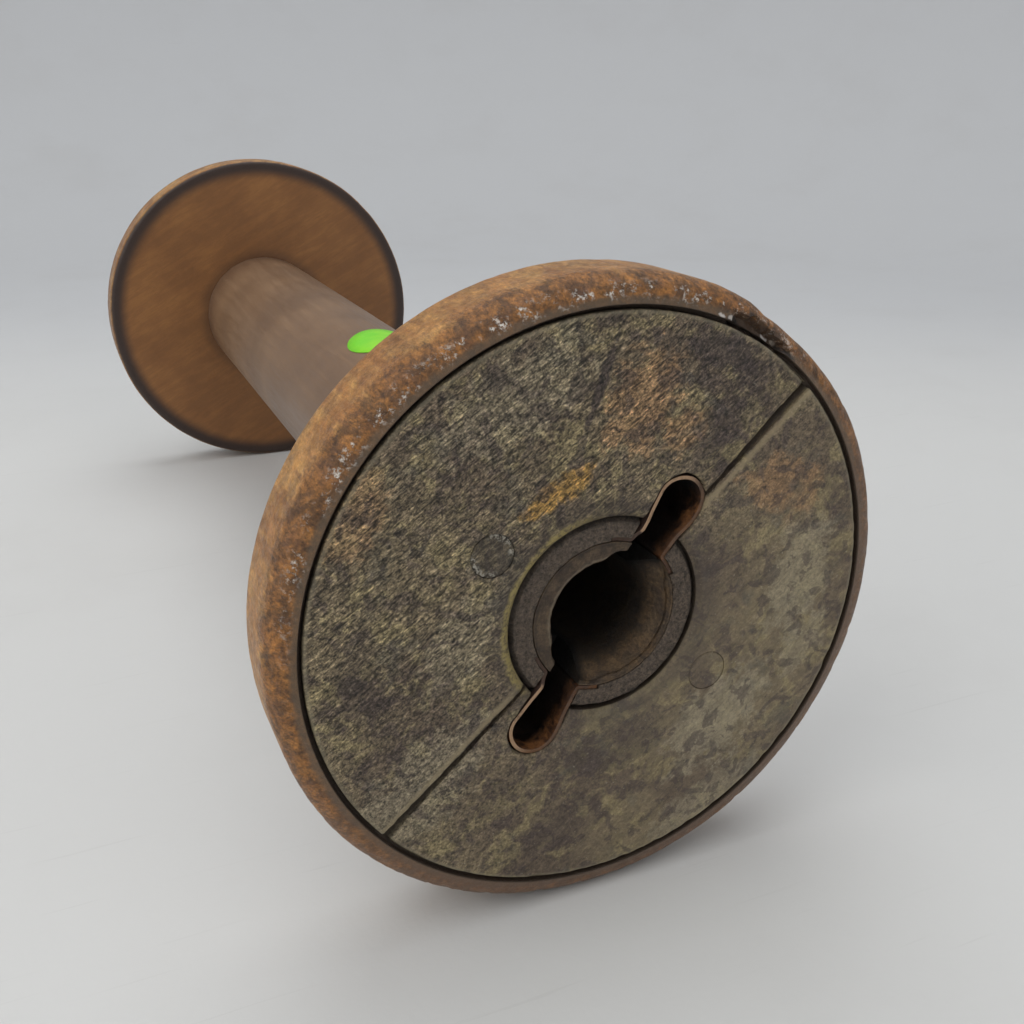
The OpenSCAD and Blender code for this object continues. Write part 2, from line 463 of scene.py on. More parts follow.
def turned_back(place, turn):
    """A place turned back round Z, so that what ran at that turn runs along X."""
    return add_node(tree_of([place]), "ShaderNodeVectorRotate", {
        "Vector": place, "Axis": (0, 0, 1), "Angle": turn * -1,
    }, rotation_type="AXIS_ANGLE")


def new_group(name, inputs, outputs):
    """A shader node group; inputs and outputs are (label, kind, value)."""
    group = bpy.data.node_groups.new(name, "ShaderNodeTree")
    for label, kind, value in inputs:
        socket = group.interface.new_socket(label, in_out="INPUT", socket_type="NodeSocket" + kind)
        if value is not None:
            socket.default_value = value
    for label, kind in outputs:
        group.interface.new_socket(label, in_out="OUTPUT", socket_type="NodeSocket" + kind)
    given = {socket.name: Output(socket) for socket in group.nodes.new("NodeGroupInput").outputs}
    return group, given, group.nodes.new("NodeGroupOutput").inputs


def use(group, place, **inputs):
    """Lays a group over a place and returns its output, or all of them if it has several."""
    inputs["Place"] = place
    made = add_node(tree_of([place]), "ShaderNodeGroup", inputs, "all", node_tree=group)
    return made[0] if len(made) == 1 else made


# Stains: blotches with a set size, cover and softness.
stains, given, out = new_group("stains", [
    ("Place", "Vector", None), ("Size", "Float", 5.0), ("Cover", "Float", 0.5), ("Soft", "Float", 0.1),
    ("Seed", "Float", 0.0),
], [("Mask", "Float")])
moved = vector_maths("ADD", given["Place"], given["Seed"])
blotch = cloud(moved, 1.0 / given["Size"], 6, 0.58, 0.5)
edge = 0.72 - given["Cover"] * 0.44
feed(out["Mask"], spread(blotch, edge - given["Soft"], edge + given["Soft"]))

# Band: a ring round the bobbin's axis with a ragged edge.
band, given, out = new_group("band", [
    ("Place", "Vector", None), ("Radius", "Float", 10.0), ("Width", "Float", 1.0), ("Soft", "Float", 0.3),
    ("Ragged", "Float", 0.3), ("Grain", "Float", 0.6),
], [("Mask", "Float")])
wander = (cloud(given["Place"], given["Grain"], 4) - 0.5) * (given["Ragged"] * 4)
away = abs(off_axis(given["Place"]) - given["Radius"] + wander)
half = given["Width"] * 0.5
feed(out["Mask"], spread(away, half + given["Soft"], half - given["Soft"]))

# Side: the part of an end that lies towards one direction from its middle.
side, given, out = new_group("side", [
    ("Place", "Vector", None), ("Towards", "Vector", (1, 0, 0)), ("From", "Float", 0.0),
    ("To", "Float", 1.0),
], [("Mask", "Float")])
flat = vector_maths("NORMALIZE", vector_maths("MULTIPLY", given["Place"], (1, 1, 0)))
feed(out["Mask"], spread(dot(flat, given["Towards"]), given["From"], given["To"]))

# Patch: one long or round spot with a ragged edge.
patch, given, out = new_group("patch", [
    ("Place", "Vector", None), ("Middle", "Vector", (0, 0, 0)), ("Turn", "Float", 0.0),
    ("Length", "Float", 6.0), ("Width", "Float", 3.0), ("Ragged", "Float", 0.5), ("Grain", "Float", 0.5),
], [("Mask", "Float")])
from_middle = vector_maths("SUBTRACT", given["Place"], given["Middle"])
x, y, z = split(turned_back(from_middle, given["Turn"]))
along = x / (given["Length"] * 0.5)
across = y / (given["Width"] * 0.5)
reach = maths("SQRT", maths("POWER", along, 2.0) + maths("POWER", across, 2.0))
wander = cloud(given["Place"], given["Grain"], 8, 0.68) - 0.5
reach = reach + wander * (given["Ragged"] * 6)
feed(out["Mask"], spread(reach, 1.25, 0.7))

# Scratches: fine lines in one direction across an end.
scratches, given, out = new_group("scratches", [
    ("Place", "Vector", None), ("Turn", "Float", 0.0), ("Spacing", "Float", 0.5), ("Length", "Float", 8.0),
    ("Cover", "Float", 0.5),
], [("Mask", "Float")])
stretch = add_node(scratches, "ShaderNodeCombineXYZ", (1.0 / given["Length"], 1.0 / given["Spacing"], 0.3))
stretched = vector_maths("MULTIPLY", turned_back(given["Place"], given["Turn"]), stretch)
lines = cloud(stretched, 1.0, 3, 0.65)
edge = 0.75 - given["Cover"] * 0.4
feed(out["Mask"], spread(lines, edge, edge + 0.08))

# Grain: wood fibres that run along X of the place they are given, with short dark pores.
grain, given, out = new_group("grain", [
    ("Place", "Vector", None), ("Fineness", "Float", 1.0), ("Stretch", "Float", 8.0),
    ("Pores", "Float", 0.3),
], [("Streaks", "Float"), ("Pits", "Float")])
fineness = given["Fineness"]
squeeze = add_node(grain, "ShaderNodeCombineXYZ", (fineness / given["Stretch"], fineness, fineness))
fibre_place = vector_maths("MULTIPLY", given["Place"], squeeze)
broad = cloud(fibre_place, 0.35, 3, 0.5, 0.6)
fine = cloud(fibre_place, 1.6, 4, 0.62)
feed(out["Streaks"], broad * 0.55 + fine * 0.45)
pore = cloud(fibre_place, 3.1, 2, 0.5)
feed(out["Pits"], spread(pore, 0.8 - given["Pores"] * 0.3, 0.82))


def head_varnish(name, end, chip_turn):
    """Old varnish on a turned head: golden on the side of the rim, worn through to rust and purple
    brown where it rounds over, crumbling at the recess with painted white glints on the crumbs,
    painted shade low on the right, in the recess and pockets and where the back meets the barrel,
    and a dark band round the edge of the back."""
    made, place, radius, depth = end_material(name, end)
    fibres = mapped(place, Rotation=(0, 0, 0.5))
    fibre, pores = use(grain, fibres, Fineness=1.2, Stretch=6.0)
    fine = cloud(place, 0.9, 8, 0.74)
    # the side of the rim: growth rings cross it as streaks
    rings = cloud(vector_maths("MULTIPLY", fibres, (0.12, 0.4, 0.06)), 1.0, 6, 0.68, 0.4)
    shade = mix(spread(rings, 0.36, 0.64), tint(146, 100, 53), tint(190, 144, 81))
    warm = use(stains, place, Size=7.0, Cover=0.45, Soft=0.12, Seed=3.0)
    shade = mix(warm * 0.6, shade, tint(164, 110, 55))
    shade = mix(spread(fibre, 0.4, 0.6, 0.45, 0.0), shade, tint(132, 90, 56))
    # the rounding, worn through
    wander = cloud(place, 0.22, 8, 0.72) - 0.5
    front = depth + wander * 11.0
    brown = mix(spread(cloud(place, 0.55, 8, 0.7, 0.3), 0.4, 0.58), tint(94, 63, 36), tint(158, 105, 50))
    purple = use(stains, place, Size=2.8, Cover=0.34, Soft=0.1, Seed=9.0)
    brown = mix(purple * 0.55, brown, tint(102, 70, 52))
    shade = mix(spread(front, -5.6, -2.4, 0.0, 0.88), shade, brown)
    blotch = cloud(place, 0.3, 9, 0.8, 0.3)
    shade = shaded(shade, spread(blotch, 0.34, 0.66, 0.5, 1.4, False))
    speckle = cloud(vector_maths("MULTIPLY", fibres, (1.5, 1.5, 0.6)), 1.3, 6, 0.85)
    worn_front = spread(front, -8.0, -3.0, 0.45, 1.0)
    speckle = (speckle - 0.5) * (worn_front * 4.2)
    shade = shaded(shade, maths("MAXIMUM", 1.0 + speckle, 0.35))
    lip = spread(radius + wander * 1.6, 48.2, 47.3) * spread(depth, -3.0, -1.5)
    shade = mix(lip * 0.75, shade, tint(98, 84, 68))
    # crumbs of lifted varnish, painted white as glints on the upper side where the light falls
    crumb_band = use(band, place, Radius=48.5, Width=1.6, Soft=0.9, Ragged=0.45)
    crumb_and_glint_side = use(side, place, Towards=(-0.32, 0.95, 0), From=0.3, To=0.8)
    specks = spread(cloud(place, 1.1, 6, 0.8), 0.52, 0.57)
    clumps = spread(cloud(place, 0.22, 4, 0.6), 0.46, 0.53)
    crumbs = crumb_band * (specks * clumps) * (crumb_and_glint_side * 0.95 + 0.05) * spread(depth, -4.5, -2.5)
    shade = mix(crumbs, shade, tint(238, 230, 220))
    # the chip: bare dark wood with a few pale splinters
    for turn, off, length, width, colour, strength in (
            (0.0, 47.3, 12.0, 3.4, tint(66, 54, 45), 0.75), (0.11, 46.9, 3.4, 1.2, tint(30, 26, 24), 0.9),
            (-0.13, 46.8, 3.0, 1.2, tint(34, 28, 26), 0.9),
            (0.165, 46.9, 1.3, 0.7, tint(210, 204, 198), 0.9),
            (0.13, 47.1, 1.1, 0.7, tint(200, 192, 184), 0.9),
            (-0.045, 46.9, 1.5, 0.7, tint(212, 206, 200), 0.9),
            (-0.09, 47.2, 1.2, 0.8, tint(150, 138, 126), 0.8)):
        there = (off * math.cos(chip_turn + turn), off * math.sin(chip_turn + turn), 0)
        spot = use(
            patch, place, Middle=there, Turn=chip_turn + math.pi / 2, Length=length, Width=width,
            Ragged=0.5, Grain=1.1,
        )
        shade = mix(spot * strength, shade, colour)
    # painted shade, thickest low down and on the right, away from the light
    # painted shade on the lower right of the rim
    low_side = use(side, place, Towards=(0.5, -0.87, 0), From=-0.45, To=0.6)
    lower_right_shade = low_side * spread(front, -12.0, -2.0, 0.35, 0.85)
    shade = mix(lower_right_shade * 0.85, shade, tint(112, 90, 74))
    # the face on the winding side: even varnish, darker in a band round its edge
    inner = spread(depth, -13.6, -14.3)
    face = mix(spread(cloud(place, 0.05, 3), 0.35, 0.65), tint(136, 92, 52), tint(154, 106, 60))
    face = mix(spread(fibre, 0.42, 0.64, 0.35, 0.0), face, tint(104, 70, 44))
    face = mix(spread(radius, 44.5, 48.6), face, tint(58, 44, 38))
    # painted shade: the face darkens where it meets the barrel
    face = mix(spread(radius, 23.5, 19.6, 0.0, 0.5), face, tint(84, 60, 44))
    shade = mix(inner, shade, face)
    # the recess and the pockets: dirty brown on the ledge, and painted shade going near black the deeper
    # they go
    inside = spread(radius, 46.85, 46.6) * (1.0 - inner)
    shade = mix(inside, shade, mix(spread(depth, -3.0, -6.0), tint(66, 54, 44), tint(24, 20, 18)))
    shade = mix(pores * 0.45, shade, tint(60, 42, 32))
    crust = spread(front, -7.0, -2.0, 0.1, 0.45)
    height = fibre * 0.08 + fine * crust + crumbs * 0.35 - pores * 0.06
    rough = crumbs * 0.2 + spread(fine, 0.3, 0.7, 0.34, 0.62)
    return coated(made, shade, rough, height, shine=0.45)


for end, seed, chip_turn in (("near", 11.0, math.radians(60)), ("far", 47.0, math.radians(-120))):
    shape = turned(
        [
            (hub_hole_r, -head_t, 0), (head_r, -head_t, 1.5 * mm), (head_r, 0, 4 * mm),
            (recess_r, 0, 0.3 * mm), (recess_r, -1.1 * mm, 0.2 * mm), (plate_hole_r, -1.5 * mm, 0),
            (plate_hole_r, -plate_t, 0), (hub_hole_r, -plate_t, 0),
        ],
        300, lambda radius, height: (0.8 if radius > recess_r + mm / 2 else 3) * mm,
    )
    wear_head(shape, seed, chip_turn)
    slots = [slot_cutter(0, 0, which) for which in halves]
    shape = carve(shape, slots + [peg_cutter(which) for which in halves])
    varnish = head_varnish(end + "_head_varnish", end, chip_turn)
    head = finished(end + "_head_turned", shape, ends[end], varnish)
    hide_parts(end + "_head")
    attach(head, "root")

# Face plates. Each recess is filled by a board in two halves, glued in and turned flat with the
# rim. The glue line has opened, the boards have shrunk and cupped, and the faces are grey-brown
# with grease, stains and the scratches of the machine.
seam_turn = math.radians(41.7)
seam_off = 2.1 * mm
seam_in = 0.7 * mm
seam_out = 1.7 * mm
slot_reach = slot_radius + slot_r


def face_half(which, seed):
    up = 1 if which == "upper" else -1
    shape = turned([
        (hub_hole_r, -plate_t, 0), (plate_r, -plate_t, 0), (plate_r, 0, 0.35 * mm),
        (hub_hole_r + 0.8 * mm, 0, 0.2 * mm), (hub_hole_r, -0.8 * mm, 0),
    ], 264, lambda radius, height: (1 if height > -0.9 * mm else 6) * mm)
    turn_all(shape, -seam_turn)
    edge_y = seam_off + up * seam_in / 2
    for row in (0, 0.12 * mm, 0.3 * mm, 0.6 * mm):
        bmesh.ops.bisect_plane(shape, geom=all_of(shape), dist=1e-7,
                               plane_co=(0, edge_y + up * row, 0), plane_no=(0, up, 0),
                               clear_inner=row == 0)
    bmesh.ops.holes_fill(shape, edges=[e for e in shape.edges if e.is_boundary], sides=0)
    for depth in (-1.0 * mm, -1.5 * mm):
        bmesh.ops.bisect_plane(shape, geom=all_of(shape), dist=1e-7,
                               plane_co=(0, 0, depth), plane_no=(0, 0, 1))
    for vert in shape.verts:
        place = vert.co / mm + Vector((seed, 0, 0))
        from_seam = (vert.co.y - edge_y) * up
        opening = eased(abs(vert.co.x), slot_reach - 4 * mm, plate_r + 4 * mm) * (seam_out - seam_in) / 2
        opening += noise.noise(place * 0.7) * 0.09 * mm + noise.noise(place * 0.12) * 0.06 * mm
        opening -= (opening + seam_in / 2 - 0.08 * mm) * eased(-vert.co.z, 1.1 * mm, 1.4 * mm)
        vert.co.y += up * opening * (1 - eased(from_seam, 0, 7 * mm))
        if vert.co.z > -0.3 * mm:
            worn = (1 - eased(from_seam, -0.1 * mm, 0.55 * mm)) * (0.30 + 0.30 * noise.noise(place * 0.9))
            waves = 0.05 + 0.05 * noise.noise(place * 0.07) + 0.025 * noise.noise(place * 0.5)
            low_end = eased(up * vert.co.x, 22 * mm, 46 * mm) * (1 - eased(from_seam, 0, 16 * mm)) * 0.35
            outer = eased(vert.co.xy.length, plate_r - 0.8 * mm, plate_r)
            outer *= max(0, noise.noise(place * 0.45)) * 0.5
            vert.co.z -= (max(0, worn) + waves + low_end + outer) * mm
    turn_all(shape, seam_turn)
    return carve(shape, [slot_cutter(0.40 * mm, 0.8, slot) for slot in halves] + [peg_cutter(which)])


ochre, orange, pale, dim = tint(172, 134, 70), tint(166, 130, 92), tint(160, 149, 124), tint(70, 60, 57)
spots = {"near": [
    (pale, (-15, 35), 25, 24, 11, 0.40), (orange, (-38, 22), 62, 14, 8, 0.45),
    (ochre, (-8.5, 21.2), 29, 11, 4.0, 0.85), (orange, (4.5, 33), 60, 15, 11, 0.65),
    (orange, (12, 27.5), 40, 8, 6, 0.60), (orange, (30.5, 16), -20, 15, 9, 0.60),
    (pale, (21, -23), 40, 20, 13, 0.65), (pale, (35, 0), 80, 20, 12, 0.55),
    (pale, (21, -38), 25, 24, 8, 0.50), (pale, (-30, -22), 45, 26, 13, 0.50),
    (pale, (-24, 0), 60, 16, 9, 0.40), (pale, (37, -12), 60, 12, 8, 0.40),
    (dim, (17.5, 39), 155, 13, 5.5, 0.75), (dim, (-2.1, 36.5), 71, 15, 1.4, 0.85),
    (dim, (19, 29), 50, 17, 7, 0.50), (dim, (-38, -2), 80, 12, 8, 0.35), (dim, (2, -23), 10, 22, 9, 0.50),
    (dim, (-18, 13), 0, 10, 9, 0.45), (dim, (-8, -36), 20, 14, 6, 0.35),
], "far": [
    (ochre, (14, 24), 30, 12, 5, 0.55), (pale, (-24, -18), 60, 24, 12, 0.50),
    (orange, (-20, 26), 20, 14, 7, 0.50), (dim, (22, -24), 100, 20, 12, 0.50),
    (pale, (30, 8), 80, 18, 9, 0.45), (dim, (-4, 38), 10, 16, 6, 0.55),
]}
streaked = {"near": (-0.6, 0.8, 0), "far": (0.4, 0.9, 0)}


def plate_wood(name, end):
    """Greasy grey-brown wood: blotchy stains, olive where it is rubbed, fine scratches and the
    lathe's rings, with painted highlights on the seam's worn edges and the hub's chamfer and painted
    shade down the seam and holes; spots are (colour, middle, turn in degrees, length, width, strength)."""
    made, place, radius, depth = end_material(name, end)
    sharp = use(side, place, Towards=(-0.75, 0.66, 0), From=-1.0, To=0.5)
    shade = mix(spread(cloud(place, 0.05, 6, 0.6, 0.4), 0.38, 0.6), tint(104, 90, 75), tint(130, 116, 91))
    olive = use(stains, place, Size=4.5, Cover=0.38, Soft=0.05, Seed=2.0)
    shade = mix(olive * 0.5, shade, tint(158, 144, 104))
    for colour, middle, turn, length, width, strength in spots[end]:
        spot = use(
            patch, place, Middle=(*middle, 0), Turn=math.radians(turn), Length=length, Width=width,
            Ragged=0.5, Grain=0.3,
        )
        shade = mix(spot * strength, shade, colour)
    dark = use(stains, place, Size=3.4, Cover=0.38, Soft=0.03, Seed=7.0)
    shade = mix(dark * 0.6, shade, tint(77, 66, 63))
    cold = use(stains, place, Size=7.0, Cover=0.22, Soft=0.05, Seed=31.0)
    shade = mix(cold * 0.4, shade, tint(90, 88, 80))
    fibres = mapped(place, Rotation=(0, 0, -seam_turn))
    fibre, pores = use(grain, fibres, Fineness=1.6, Stretch=4.0)
    shade = shaded(shade, spread(fibre, 0.4, 0.6, 0.8, 1.12, False))
    fine = cloud(place, 0.8, 8, 0.84)
    grit = cloud(place, 1.7, 2, 0.95)
    rough = 1.0 + (fine - 0.5) * (1.8 + sharp * 3.4) + (grit - 0.5) * (0.8 + sharp * 3.2)
    shade = shaded(shade, maths("MINIMUM", maths("MAXIMUM", rough, 0.25), 2.2))
    region = use(side, place, Towards=streaked[end], From=-0.2, To=0.8)
    strokes = []
    for turn, apart, length, shift, cover in (
            (0.50, 0.50, 3.0, 0, 0.6), (0.62, 0.42, 2.2, 30, 0.6), (0.95, 0.50, 2.4, 60, 0.6),
            (0.55, 0.20, 1.2, 90, 0.58), (0.85, 0.22, 1.0, 120, 0.58)):
        placed = vector_maths("ADD", place, (shift, shift, 0))
        strokes.append(use(scratches, placed, Turn=turn, Spacing=apart, Length=length, Cover=cover))
    hatch = (strokes[0] + strokes[2] * 0.35 - strokes[1]) * (0.06 + region * 0.64)
    shade = shaded(shade, 1.0 + hatch)
    shade = shaded(shade, 1.0 + (strokes[3] - strokes[4]) * (0.04 + sharp * 0.42))
    rings = cloud(add_node(made.node_tree, "ShaderNodeCombineXYZ", [radius]), 1.5, 3, 0.7)
    left = use(side, place, Towards=(-0.86, 0.5, 0), From=0.1, To=0.8)
    turning = spread(rings, 0.54, 0.64) * spread(radius, 34, 40) * left
    shade = mix(turning * 0.5, shade, tint(60, 54, 47))
    # worn bevels along the seam, painted lighter as a highlight on the lower left and upper right edges
    beside = dot(place, (-math.sin(seam_turn), math.cos(seam_turn), 0))
    from_seam = beside + (fine - 0.5) * 1.2 - seam_off / mm
    lower_left = use(side, place, Towards=(-0.75, -0.66, 0), From=0.8, To=0.95)
    upper_right = use(side, place, Towards=(0.75, 0.66, 0), From=0.8, To=0.95)
    rubbed = spread(from_seam, 0.5, 0.9) * spread(from_seam, 2.0, 1.3) * lower_left
    rubbed = rubbed + spread(from_seam, -0.5, -0.9) * spread(from_seam, -1.8, -1.2) * upper_right
    shade = mix(rubbed * 0.65, shade, tint(166, 150, 118))
    speck = spread(cloud(place, 1.9, 3, 0.75), 0.62, 0.72)
    shade = mix(speck * 0.35, shade, tint(206, 198, 176))
    halo = use(band, place, Radius=17.0, Width=4.0, Soft=2.0, Ragged=0.7, Grain=0.25)
    shade = mix(halo * 0.5, shade, tint(76, 67, 60))
    # painted highlight: the hole's chamfer is lighter on its upper left side, where the light falls
    lit_chamfer = use(band, place, Radius=16.6, Width=1.3, Soft=0.4, Ragged=0.35)
    lit_chamfer *= use(side, place, Towards=(-0.92, 0.38, 0), From=0.35, To=0.8)
    lit_chamfer *= spread(cloud(place, 1.3, 4, 0.8), 0.4, 0.56, 0.25, 1.0)
    shade = mix(lit_chamfer * 0.9, shade, tint(176, 158, 98))
    edge = use(band, place, Radius=45.7, Width=0.6, Soft=0.3, Ragged=0.15)
    shade = mix(edge * 0.45, shade, tint(156, 146, 122))
    # painted shade down the seam and in the holes, darker below the face
    shade = mix(spread(depth, -0.5, -1.3, 0.0, 0.9), shade, tint(52, 42, 34))
    shade = mix(pores * 0.45, shade, tint(48, 42, 38))
    height = hatch * 0.16 + fibre * 0.06 + fine * (0.2 + sharp * 0.35) - turning * 0.06
    return coated(made, shade, spread(fine, 0.3, 0.7, 0.5, 0.72), height, shine=0.4)


for end, seed in (("near", 5.0), ("far", 83.0)):
    wood = plate_wood(end + "_plate_wood", end)
    for which in halves:
        shape = face_half(which, seed + (31 if which == "lower" else 0))
        half = finished(f"{end}_face_{which}_board", shape, ends[end], wood)
        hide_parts(f"{end}_face_{which}")
        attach(half, "root")

# Barrel. One turned wooden tube, worn smooth and satin by thread. A tenon at each end passes
# through the head and shows in the face as a dark ring, chipped and cracked at its edge.
sink = 0.8 * mm
barrel_r = (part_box("barrel")[1].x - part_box("barrel")[0].x) / 2
bore_r = 8.65 * mm
bush_r = bore_r + 3.15 * mm
bush_l = 30 * mm
socket_r = bush_r + 0.16 * mm
tenon_end = half_l - sink
shoulder = half_l - head_t
foot_in, foot_out = 11.92 * mm, 12.52 * mm
neck_half = math.asin(3.0 * mm / foot_in)
foot_turn = math.radians(17)


def foot_cutter(which, hand):
    """The narrow pocket in the tenon that one foot of a liner sits in."""
    shape = bmesh.new()
    first = neck_half / 2 if hand > 0 else -(neck_half + foot_turn + 0.02)
    corner = shape.verts.new((bush_r, 0, -slot_depth))
    line = bmesh.ops.extrude_vert_indiv(shape, verts=[corner])
    line["verts"][0].co.x = foot_out + fit
    bmesh.ops.rotate(shape, verts=shape.verts[:], cent=(0, 0, 0), matrix=Matrix.Rotation(first, 3, "Z"))
    bmesh.ops.spin(shape, geom=shape.verts[:] + shape.edges[:], cent=(0, 0, 0), axis=(0, 0, 1), steps=10,
                   angle=neck_half / 2 + foot_turn + 0.02)
    top = bmesh.ops.extrude_face_region(shape, geom=shape.faces[:])["geom"]
    bmesh.ops.translate(shape, vec=(0, 0, slot_depth + mm), verts=verts_of(top))
    bmesh.ops.recalc_face_normals(shape, faces=shape.faces[:])
    turn_all(shape, slot_turns[which])
    return shape


def barrel_rows(radius, height):
    """How far apart the barrel's rows lie: close at the ends of the tenons and wide elsewhere."""
    if abs(height) > tenon_end - mm / 2:
        return 0.4 * mm
    return (5 if radius > bush_r else 12) * mm


shape = turned(
    [
        (tenon_r, -tenon_end, 0.15 * mm), (tenon_r, -shoulder, 0), (barrel_r, -shoulder, 0.4 * mm),
        (barrel_r, shoulder, 0.4 * mm), (tenon_r, shoulder, 0), (tenon_r, tenon_end, 0.15 * mm),
        (socket_r, tenon_end, 0.1 * mm), (socket_r, tenon_end - bush_l, 0),
        (bore_r, tenon_end - bush_l, 0), (bore_r, bush_l - tenon_end, 0),
        (socket_r, bush_l - tenon_end, 0), (socket_r, -tenon_end, 0.1 * mm),
    ],
    240, barrel_rows,
)
for vert in shape.verts:
    place = vert.co / mm
    radius = vert.co.xy.length
    if radius > barrel_r - 0.05 * mm:
        hollow = 0.10 * (1 - abs(vert.co.z) / half_l) + 0.05 * abs(noise.noise(place * 0.05))
        vert.co.xy *= 1 - hollow * mm / radius
    if abs(vert.co.z) > tenon_end - 0.3 * mm:
        turn = math.atan2(vert.co.y, vert.co.x)
        chips = eased(radius, tenon_r - 0.9 * mm, tenon_r) * max(0, noise.noise(place * 0.55) - 0.05) * 2.2
        outer = eased(radius, tenon_r - 0.75 * mm, tenon_r - 0.25 * mm)
        chips += outer * (0.9 + 0.6 * noise.noise(place * 0.4))
        rough = 0.12 * abs(noise.noise(place * 0.9))
        inner = eased(radius, socket_r + 0.5 * mm, socket_r)
        inner = inner * max(0, noise.noise(place * 0.6 + Vector((9, 9, 9)))) * 0.9
        vert.co.z -= math.copysign((min(chips, 1.8) + rough + inner) * mm, vert.co.z)
axis = Matrix.Translation((0, 0, head_r)) @ Matrix.Rotation(math.radians(90), 4, "X")
cutters = []
for end in ("near", "far"):
    for which in halves:
        slot = slot_cutter(0.25 * mm, 0.9, which)
        for cutter in (slot, foot_cutter(which, 1), foot_cutter(which, -1)):
            bmesh.ops.transform(cutter, matrix=axis.inverted() @ ends[end], verts=cutter.verts[:])
            cutters.append(cutter)
shape = carve(shape, cutters)


def barrel_wood(name):
    """Close-grained wood rubbed to a grey-brown satin, with painted shade where it meets the heads, and a
    dark end grain with painted shade at its edge and in its chips.
    """
    made, place = new_material(name)
    along = mapped(place, Rotation=(0, 0, math.pi / 2))
    fibre, pores = use(grain, along, Fineness=0.9, Stretch=16.0)
    shade = mix(spread(cloud(along, 0.03, 4, 0.55), 0.36, 0.64), tint(116, 90, 67), tint(136, 107, 80))
    shade = mix(spread(fibre, 0.38, 0.62, 0.4, 0.0), shade, tint(104, 79, 60))
    smudge = use(stains, place, Size=14.0, Cover=0.4, Soft=0.16, Seed=5.0)
    shade = mix(smudge * 0.22, shade, tint(110, 88, 72))
    off_middle = abs(split(place)[1])
    # painted shade where the barrel meets the heads
    shade = mix(spread(off_middle, 96, 117, 0.0, 0.5), shade, tint(92, 68, 54))
    shade = mix(pores * 0.5, shade, tint(82, 60, 48))
    end_grain = spread(off_middle, shoulder / mm + 0.5, shoulder / mm + 1.0)
    rings = cloud(vector_maths("MULTIPLY", place, (0.5, 0.1, 0.5)), 1.0, 5, 0.65)
    rings = mix(rings, tint(64, 54, 46), tint(98, 84, 70))
    rough = cloud(place, 1.5, 3, 0.9)
    rings = shaded(rings, spread(rough, 0.3, 0.7, 0.1, 1.95, False))
    from_axis = vector_maths("MULTIPLY", vector_maths("SUBTRACT", place, (0, 0, head_r / mm)), (1, 0, 1))
    radius = vector_maths("LENGTH", from_axis)
    # painted shadow round the tenon's outer edge, under the edge of the plate's hole
    rings = shaded(rings, spread(radius + cloud(place, 0.5, 4), 15.1, 15.9, 1.0, 0.45))
    # painted shade in the chips, darker the deeper they go
    deep = spread(off_middle, tenon_end / mm - 0.8, tenon_end / mm - 2.2, 0.0, 0.85)
    rings = mix(deep, rings, tint(36, 28, 24))
    shade = mix(end_grain, shade, rings)
    gloss = spread(fibre, 0.3, 0.7, 0.36, 0.5) + end_grain * 0.25
    height = fibre * 0.06 + rough * (0.02 + end_grain * 0.55) - pores * 0.05
    return coated(made, shade, gloss, height)


barrel = finished("barrel_turned", shape, axis, barrel_wood("barrel_wood_satin"))
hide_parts("barrel")
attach(barrel, "root")


# Bushes. A hard wooden bush is let into each end of the tenon to take the wear of the spindle. Its
# mouth is worn into a funnel on one side and still has a sharp, torn edge on the other.
def bush_dark(name, end):
    made, place, radius, depth = end_material(name, end)
    shade = mix(spread(cloud(place, 0.25, 6, 0.66, 0.4), 0.38, 0.62), tint(70, 58, 48), tint(96, 80, 62))
    worn = use(side, place, Towards=(0.8, -0.6, 0), From=-0.1, To=0.8)
    rust = use(stains, place, Size=2.6, Cover=0.5, Soft=0.1, Seed=4.0)
    shade = mix(worn * rust * 0.5, shade, tint(124, 98, 68))
    gritty = cloud(place, 1.4, 4, 0.9)
    shade = shaded(shade, spread(gritty, 0.3, 0.7, 0.3, 1.75, False))
    # painted highlight: a pale line round the bore's mouth on the side away from the wear, where the light
    # catches it
    mouth = use(band, place, Radius=9.3, Width=0.35, Soft=0.25, Ragged=0.2, Grain=1.2)
    shade = mix(mouth * (1.0 - worn) * 0.55, shade, tint(156, 140, 116))
    ring = use(band, place, Radius=11.5, Width=0.3, Soft=0.2, Ragged=0.1)
    shade = mix(ring * 0.45, shade, tint(36, 28, 24))
    # painted shade, darker deeper down the bore
    within = spread(radius, 10.6, 8.8)
    shade = shaded(shade, spread(depth - within, -2.4, -7.5, 1.0, 0.16))
    # painted shade in the openings into the drive slots
    throat = spread(abs(dot(place, slot_side)), 4.6, 3.2) * spread(depth, -0.9, -1.6)
    shade = shaded(shade, 1.0 - throat * 0.85)
    return coated(made, shade, spread(gritty, 0.3, 0.7, 0.5, 0.75), gritty * 0.55, shine=0.35)


def throat_cutter(which):
    """The opening from the bore into one drive slot, through the wall of the bush."""
    shape = bmesh.new()
    size = Matrix.Diagonal((13 * mm, 6.0 * mm, slot_depth + mm, 1))
    turn = Matrix.Rotation(slot_turns[which], 4, "Z")
    middle = Matrix.Translation((6.5 * mm, 0, (mm - slot_depth) / 2))
    bmesh.ops.create_cube(shape, size=1, matrix=turn @ middle @ size)
    return shape


